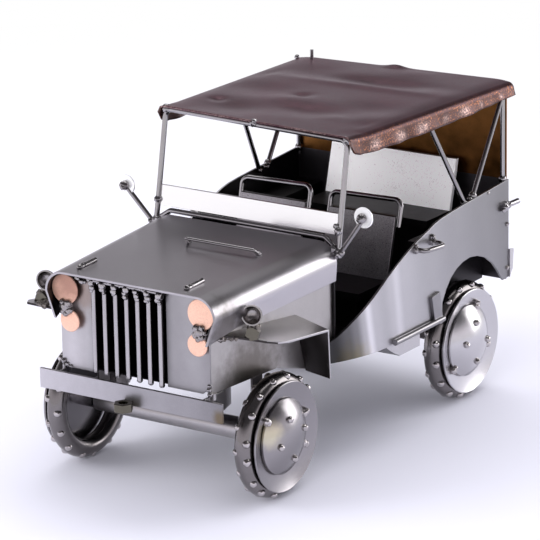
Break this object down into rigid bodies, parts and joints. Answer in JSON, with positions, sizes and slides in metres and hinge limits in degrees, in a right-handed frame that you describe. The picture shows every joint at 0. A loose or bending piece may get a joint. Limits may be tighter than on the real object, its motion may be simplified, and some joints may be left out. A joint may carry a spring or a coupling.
{
  "type": "small metal model of an army 4x4 car",
  "caption": "Small hand-welded sheet-metal model of an open army 4x4 car with copper roof, wire screen, seats and studded wheels that turn.",
  "frame": {"origin": "middle of the car's overall box at the ground", "axes": "front towards -Y, the car's left side towards +X, up towards +Z"},
  "size_m": [0.1408, 0.245, 0.1548],
  "materials": {
    "steel": "satin grey steel, rubbed, heat-tinted at welds",
    "hood_steel": "satin, darker and heat-stained",
    "copper": "dark hammered copper, dull with a sheen",
    "disc_copper": "salmon copper, satin",
    "wire": "bright steel wire, lacquered",
    "bright_plate": "mirror bright",
    "tyre_steel": "dark gun-metal, glossy",
    "wheel_steel": "satin"
  },
  "bodies": {
    "car": {"bumper": "steel", "tow_nut": "wire", "frame_bracket_left": "steel", "frame_bracket_right": "steel", "hood": "hood_steel", "hood_rest_bar": "wire", "hood_catches": "wire", "grille_panel": "steel", "grille_bars": "wire", "headlamp_left": "disc_copper", "headlamp_right": "disc_copper", "engine_side_left": "steel", "engine_side_right": "steel", "bay_floor": "steel", "fender_left": "steel", "fender_right": "steel", "side_lamp_left": "wire", "side_lamp_right": "wire", "firewall": "steel", "floor": "steel", "body_side_left": "steel", "body_side_right": "steel", "rear_panel": "steel", "wheel_house_left": "steel", "wheel_house_right": "steel", "screen_frame": "wire", "screen_plate": "bright_plate", "mirror_left": "wire", "mirror_right": "wire", "steering_wheel": "wire", "seat_left": "steel", "seat_right": "steel", "rear_bench": "steel", "roof_sheet": "copper", "rear_post_left": "wire", "rear_post_right": "wire", "rear_curtain": "copper", "roof_strut_left": "wire", "roof_strut_right": "wire", "grab_handle_left": "wire", "grab_handle_right": "wire", "axe": "wire", "side_step_left": "steel", "side_step_right": "steel", "tail_pin_left": "wire", "tail_pin_right": "wire", "axle_front": "steel", "axle_rear": "steel"},
    "wheel_front_left": {"tyre_front_left": "tyre_steel", "wheel_disc_front_left": "wheel_steel"},
    "wheel_front_right": {"tyre_front_right": "tyre_steel", "wheel_disc_front_right": "wheel_steel"},
    "wheel_rear_left": {"tyre_rear_left": "tyre_steel", "wheel_disc_rear_left": "wheel_steel"},
    "wheel_rear_right": {"tyre_rear_right": "tyre_steel", "wheel_disc_rear_right": "wheel_steel"}
  },
  "joints": [
    {"name": "wheel_front_left_turn", "type": "hinge", "parent": "car", "child": "wheel_front_left", "pos_m": [0.0538, -0.0761, 0.029], "axis": [1, 0, 0], "continuous": true},
    {"name": "wheel_front_right_turn", "type": "hinge", "parent": "car", "child": "wheel_front_right", "pos_m": [-0.0538, -0.0761, 0.029], "axis": [1, 0, 0], "continuous": true},
    {"name": "wheel_rear_left_turn", "type": "hinge", "parent": "car", "child": "wheel_rear_left", "pos_m": [0.0538, 0.0849, 0.029], "axis": [1, 0, 0], "continuous": true},
    {"name": "wheel_rear_right_turn", "type": "hinge", "parent": "car", "child": "wheel_rear_right", "pos_m": [-0.0538, 0.0849, 0.029], "axis": [1, 0, 0], "continuous": true}
  ]
}
